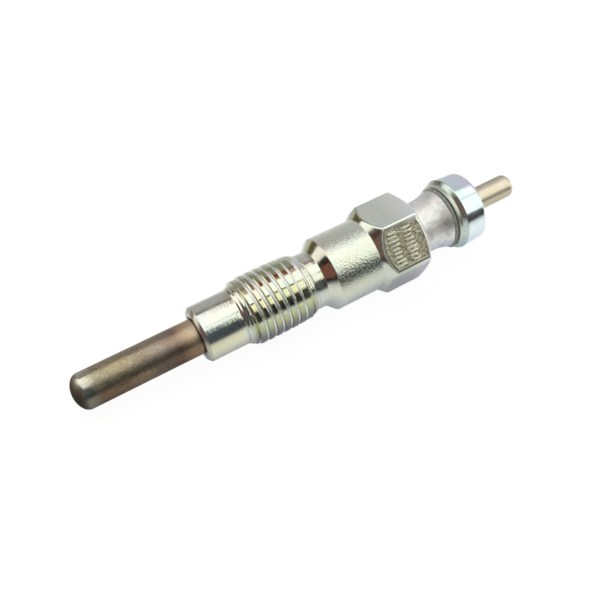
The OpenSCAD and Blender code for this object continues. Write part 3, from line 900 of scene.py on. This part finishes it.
# painted reflection: the paper glows only for reflected rays
paperGlow = tree.nodes.new("ShaderNodeEmission")
tree.links.new(product(tree, bright, rays.outputs["Is Glossy Ray"]), paperGlow.inputs["Strength"])
mirrored = tree.nodes.new("ShaderNodeAddShader")
tree.links.new(matte.outputs[0], mirrored.inputs[0])
tree.links.new(paperGlow.outputs[0], mirrored.inputs[1])
# to the camera the sheet is white, and only a faint shadow shows on it
seenGlow = tree.nodes.new("ShaderNodeEmission")
seenGlow.inputs["Color"].default_value = (1, 1, 1, 1)
seenGlow.inputs["Strength"].default_value = paperLook["seenGlow"]
seenShadow = tree.nodes.new("ShaderNodeBsdfDiffuse")
seenShadow.inputs["Color"].default_value = (*paperLook["seenShadow"], 1)
sheet = tree.nodes.new("ShaderNodeAddShader")
seen = tree.nodes.new("ShaderNodeMixShader")
output = tree.nodes.new("ShaderNodeOutputMaterial")
tree.links.new(seenGlow.outputs[0], sheet.inputs[0])
tree.links.new(seenShadow.outputs[0], sheet.inputs[1])
tree.links.new(rays.outputs["Is Camera Ray"], seen.inputs["Fac"])
tree.links.new(mirrored.outputs[0], seen.inputs[1])
tree.links.new(sheet.outputs[0], seen.inputs[2])
tree.links.new(seen.outputs[0], output.inputs["Surface"])
coat(floor, paper)
print("floor laid")

# studio round the plug: one long softbox overhead, dark room towards the camera, a pale wall behind.
# directions are unit vectors; across is in degrees round the plug, from straight up towards the camera
studioLook = {
    "sideX": ((0.208, 0.22), (0.297, 0.306)),          # the slice of the room that the thread's flanks mirror
    "nearEdge": (72, 35, 8), "farEdge": (45, -33, 17),  # of the softbox: skew, place, and shift in that slice
    "boxX": (-0.9, -0.45), "boxWarm": (1.0, 0.9, 0.8), "box": (1.26, 1.28, 1.2),
    "boxSoft": (-3, 3),
    "wall": [(-0.2, (0.36, 0.36, 0.30)), (0.18, (0.445, 0.44, 0.445)), (0.37, (0.58, 0.58, 0.59)),
             (0.6, (0.64, 0.64, 0.69))],
    "oliveX": (-0.3, -0.05), "oliveZ": (0.02, 0.14), "olive": (0.60, 0.62, 0.28),
    "oliveDark": (0.10, 0.095, 0.045),
    "sideWall": (0.20, 0.215, 0.125), "sideWallFrom": (55, 75, 0.85, 0.0),
    "gap": (0.16, 0.07, 0.05), "gapFrom": (8, 18, 0.75, 0.0), "gapX": (0.28, 0.4, 1.0, 0.1),
    "sideGap": (0.18, 0.035, 0.015), "sideGapWider": 9, "sideGapDeeper": 0.33,
    "roomFrom": (-12, -2),
    "room": [(-0.88, (0.20, 0.075, 0.06)), (-0.772, (0.17, 0.13, 0.11)), (-0.448, (0.17, 0.165, 0.15)),
             (-0.196, (0.07, 0.085, 0.09))],
    "barrelX": ((0.325, 0.345), (0.45, 0.52)), "barrelRoom": (0.19, 0.19, 0.175),
    "blackFrom": (32, 40), "blackX": (-0.86, -0.74), "black": (0.02, 0.018, 0.014),
    "halfFrom": (32, 36), "nearHalf": (1.1, 1.1, 0.7),
    "seamAt": 33, "seamEdge": (2.0, 3.6), "seam": (0.03, 0.03, 0.02),
    "jointAt": 26, "jointEdge": (1.5, 3.5), "jointX": (0.53, 0.56), "joint": (0.72, 0.8, 0.8),
}
studio = bpy.data.worlds.new("studio")
bpy.context.scene.world = studio
studio.use_nodes = True
tree = studio.node_tree
tree.nodes.clear()
coords = tree.nodes.new("ShaderNodeTexCoord")
dx, dy, dz = splitPlace(tree, coords.outputs["Generated"])
across = sums(tree, 'DEGREES', sums(tree, 'ARCTAN2', product(tree, dy, -1.0), dz))
beside = within(tree, dx, *studioLook["sideX"])


def boxEdge(skew, at, shift):
    return sums(tree, 'MULTIPLY_ADD', beside, shift, sums(tree, 'MULTIPLY_ADD', dx, skew, at))


def lineAt(degrees, edge):
    return fadeOut(tree, sums(tree, 'ABSOLUTE', sums(tree, 'SUBTRACT', across, degrees)), *edge)


# degrees past the softbox's two long edges, which run askew to the plug
pastNear = sums(tree, 'SUBTRACT', across, boxEdge(*studioLook["nearEdge"]))
pastFar = sums(tree, 'SUBTRACT', boxEdge(*studioLook["farEdge"]), across)
box = product(tree, *(fadeOut(tree, past, *studioLook["boxSoft"]) for past in (pastNear, pastFar)))
# behind the plug: a pale wall, olive towards the heater's end, with a dark red gap beside the softbox
upWall = fade(tree, dz, *studioLook["oliveZ"])
oliveEnd = blendTints(tree, upWall, studioLook["olive"], studioLook["oliveDark"])
wall = tintsAlong(tree, dx, studioLook["wall"])
wall = blendTints(tree, fade(tree, dx, *studioLook["oliveX"]), oliveEnd, wall)
sideWall = product(tree, beside, fade(tree, pastFar, *studioLook["sideWallFrom"]))
wall = blendTints(tree, sideWall, wall, studioLook["sideWall"])
gapWidth = sums(tree, 'MULTIPLY_ADD', beside, -studioLook["sideGapWider"], pastFar)
gap = product(tree, fade(tree, gapWidth, *studioLook["gapFrom"]), fade(tree, dx, *studioLook["gapX"]),
              sums(tree, 'MULTIPLY_ADD', beside, studioLook["sideGapDeeper"], 1.0))
gapTone = blendTints(tree, beside, studioLook["gap"], studioLook["sideGap"])
behind = blendTints(tree, gap, wall, gapTone)
# before the plug: a dark room, browner towards the heater's end, with a black gap beside the softbox there
before = tintsAlong(tree, dx, studioLook["room"])
byBarrel = within(tree, dx, *studioLook["barrelX"])
before = blendTints(tree, byBarrel, before, studioLook["barrelRoom"])
black = product(tree, fadeOut(tree, pastNear, *studioLook["blackFrom"]),
                fadeOut(tree, dx, *studioLook["blackX"]))
before = blendTints(tree, sums(tree, 'MAXIMUM', black, beside), before, studioLook["black"])
room = blendTints(tree, fade(tree, pastNear, *studioLook["roomFrom"]), behind, before)
# the softbox itself, warmer at the heater's end, with a dark seam and a faint joint
boxTone = blendTints(tree, fade(tree, dx, *studioLook["boxX"]), studioLook["boxWarm"], studioLook["box"])
nearHalf = product(tree, beside, fade(tree, across, *studioLook["halfFrom"]))
boxTone = blendTints(tree, nearHalf, boxTone, studioLook["nearHalf"])
seam = product(tree, lineAt(studioLook["seamAt"], studioLook["seamEdge"]), beside)
boxTone = blendTints(tree, seam, boxTone, studioLook["seam"])
joint = product(tree, lineAt(studioLook["jointAt"], studioLook["jointEdge"]),
                fade(tree, dx, *studioLook["jointX"]))
boxTone = blendTints(tree, joint, boxTone, studioLook["joint"])
sky = tree.nodes.new("ShaderNodeBackground")
white = tree.nodes.new("ShaderNodeBackground")
rays = tree.nodes.new("ShaderNodeLightPath")
seen = tree.nodes.new("ShaderNodeMixShader")
output = tree.nodes.new("ShaderNodeOutputWorld")
tree.links.new(blendTints(tree, box, room, boxTone), sky.inputs["Color"])
white.inputs["Color"].default_value = (1, 1, 1, 1)
tree.links.new(rays.outputs["Is Camera Ray"], seen.inputs["Fac"])
tree.links.new(sky.outputs[0], seen.inputs[1])
tree.links.new(white.outputs[0], seen.inputs[2])
tree.links.new(seen.outputs[0], output.inputs["Surface"])
print("studio lit")
